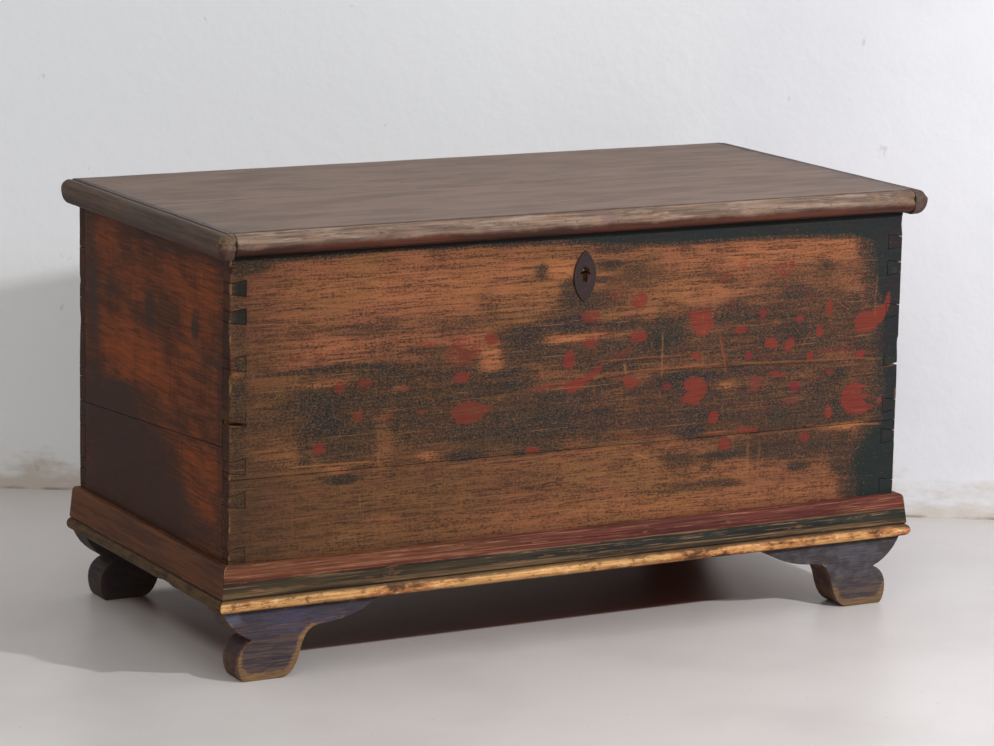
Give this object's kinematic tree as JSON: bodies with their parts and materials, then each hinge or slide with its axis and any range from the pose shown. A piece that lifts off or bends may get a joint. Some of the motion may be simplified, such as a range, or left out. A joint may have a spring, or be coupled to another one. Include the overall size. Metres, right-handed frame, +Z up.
{
  "type": "blanket chest",
  "caption": "Painted pine blanket chest: dovetailed case on sawn scroll feet, moulded plinth, hinged lid with moulded edge, inner till and iron chest lock.",
  "frame": {"origin": "on the floor, under the middle of the chest's whole box", "axes": "+X to the right as seen from the front, +Y towards the back, +Z up; the front faces -Y"},
  "size_m": [1.177, 0.5828, 0.6429],
  "materials": {
    "front_paint": "pine with the worn remains of dark blue-green paint and red flowers, matt",
    "side_paint": "pine with thin worn red-brown paint, matt",
    "plinth_paint": "pine with worn red and green painted stripes, matt",
    "foot_paint": "thick pine with worn blue-violet paint, matt",
    "lid_wood": "grey-brown bare pine with traces of paint, rubbed smooth",
    "bare_pine": "unpainted aged pine, matt",
    "black_iron": "hand-forged iron, dark and slightly rusted",
    "bright_iron": "filed iron, worn bright"
  },
  "bodies": {
    "case": {"front_lower_board": "front_paint", "front_upper_board": "front_paint", "back_lower_board": "bare_pine", "back_upper_board": "bare_pine", "left_lower_board": "side_paint", "left_upper_board": "side_paint", "right_lower_board": "side_paint", "right_upper_board": "side_paint", "bottom_board_1": "bare_pine", "bottom_board_2": "bare_pine", "bottom_board_3": "bare_pine", "plinth_front": "plinth_paint", "plinth_left": "side_paint", "plinth_right": "side_paint", "foot_front_left": "foot_paint", "foot_front_right": "foot_paint", "foot_back_left": "foot_paint", "foot_back_right": "foot_paint", "till_bottom": "bare_pine", "till_front": "bare_pine", "hinge_left_case_strap": "black_iron", "hinge_left_pin": "black_iron", "hinge_right_case_strap": "black_iron", "hinge_right_pin": "black_iron", "lock_case": "black_iron", "lock_key_pin": "bright_iron", "lock_keeper_1": "black_iron", "lock_keeper_2": "black_iron", "lock_spring": "bright_iron", "escutcheon": "black_iron"},
    "lid": {"lid_front_board": "lid_wood", "lid_back_board": "lid_wood", "lid_strip_left": "lid_wood", "lid_strip_right": "lid_wood", "hinge_left_lid_strap": "black_iron", "hinge_right_lid_strap": "black_iron", "lid_staple": "black_iron"},
    "bolt": {"lock_bolt": "bright_iron"}
  },
  "joints": [
    {"name": "lid_hinge", "type": "hinge", "parent": "case", "child": "lid", "pos_m": [0, 0.2864, 0.6036], "axis": [-1, 0, 0], "range_deg": [0, 100]},
    {"name": "bolt_slide", "type": "slide", "parent": "case", "child": "bolt", "axis": [1, 0, 0], "range_m": [0, 0.012]}
  ]
}
